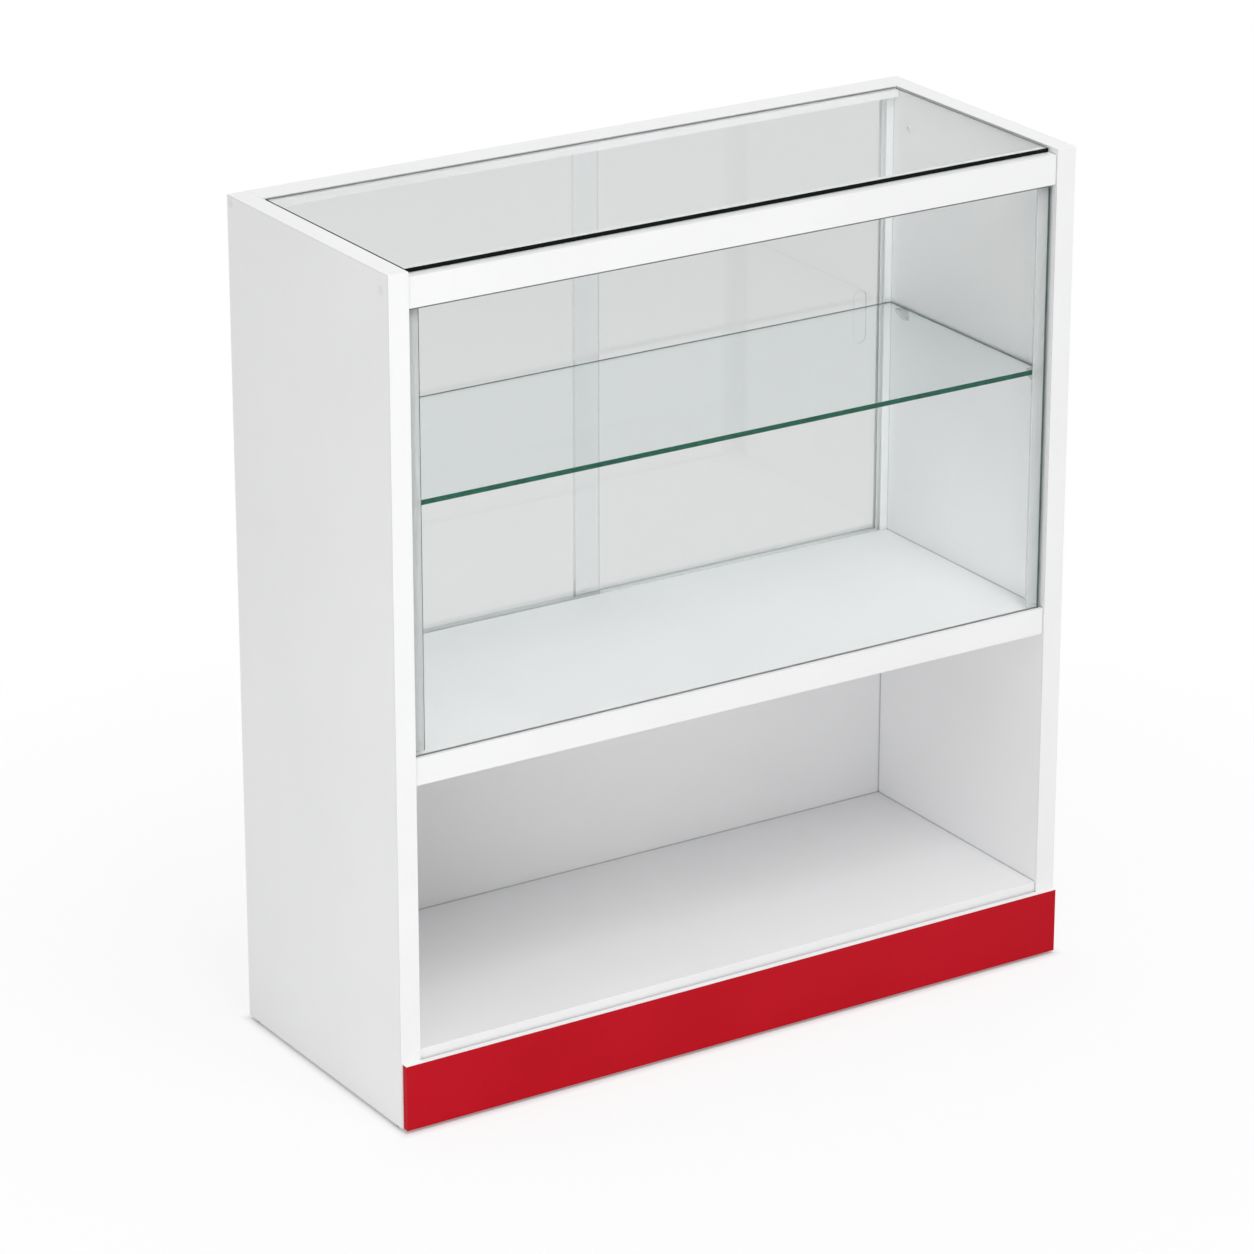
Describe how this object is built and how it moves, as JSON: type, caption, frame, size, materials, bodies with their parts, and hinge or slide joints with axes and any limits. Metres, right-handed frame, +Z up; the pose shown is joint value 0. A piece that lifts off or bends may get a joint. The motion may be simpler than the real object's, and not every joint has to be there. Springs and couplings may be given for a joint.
{
  "type": "glass display counter",
  "caption": "Free-standing shop counter with a glazed display and glass shelf above, sliding glass doors at the rear, and an open storage space below.",
  "frame": {"origin": "on the ground, under the centre of the counter's overall width and depth", "axes": "+X along the counter towards its right end seen from the front, +Y from the front to the rear where the sliding doors are, +Z up"},
  "size_m": [0.9, 0.36, 1],
  "materials": {
    "white_board": "white melamine-faced chipboard, satin",
    "white_edging": "white ABS edge strip, satin",
    "red_board": "red faced board, satin",
    "clear_glass": "clear float glass with ground edges",
    "clear_plastic": "clear extruded or moulded plastic",
    "grey_plastic": "light grey extruded plastic",
    "white_plastic": "white moulded plastic",
    "black_plastic": "black moulded plastic",
    "zinc_steel": "zinc-plated steel",
    "cast_zinc": "plain die-cast metal",
    "beech": "fluted beech, unfinished"
  },
  "bodies": {
    "carcass": {"left_side_panel": "white_board", "right_side_panel": "white_board", "left_panel_edging": "white_edging", "right_panel_edging": "white_edging", "left_panel_top_edging": "white_edging", "right_panel_top_edging": "white_edging", "front_top_rail": "white_board", "rear_top_rail": "white_board", "display_floor": "white_board", "base_board": "white_board", "board_edging": "white_edging", "lower_back_panel": "white_board", "rear_plinth": "white_board", "kick_board": "red_board", "kick_board_angles": "zinc_steel", "kick_board_screws": "zinc_steel", "glides": "black_plastic", "glide_nails": "zinc_steel", "top_glass": "clear_glass", "top_glass_pads": "clear_plastic", "front_glass": "clear_glass", "left_glass_bead": "clear_plastic", "right_glass_bead": "clear_plastic", "glass_shelf": "clear_glass", "shelf_sockets": "white_plastic", "shelf_pegs": "clear_plastic", "lower_door_track": "grey_plastic", "upper_door_track": "grey_plastic", "left_door_jamb": "grey_plastic", "right_door_jamb": "grey_plastic", "rail_screws": "zinc_steel", "screw_caps": "white_plastic", "cam_bolts": "zinc_steel", "cam_discs": "cast_zinc", "dowels": "beech"},
    "left_door": {"left_sliding_door": "clear_glass"},
    "right_door": {"right_sliding_door": "clear_glass"}
  },
  "joints": [
    {"name": "left_door_slide", "type": "slide", "parent": "carcass", "child": "left_door", "axis": [1, 0, 0], "range_m": [0, 0.408]},
    {"name": "right_door_slide", "type": "slide", "parent": "carcass", "child": "right_door", "axis": [1, 0, 0], "range_m": [-0.408, 0]}
  ]
}
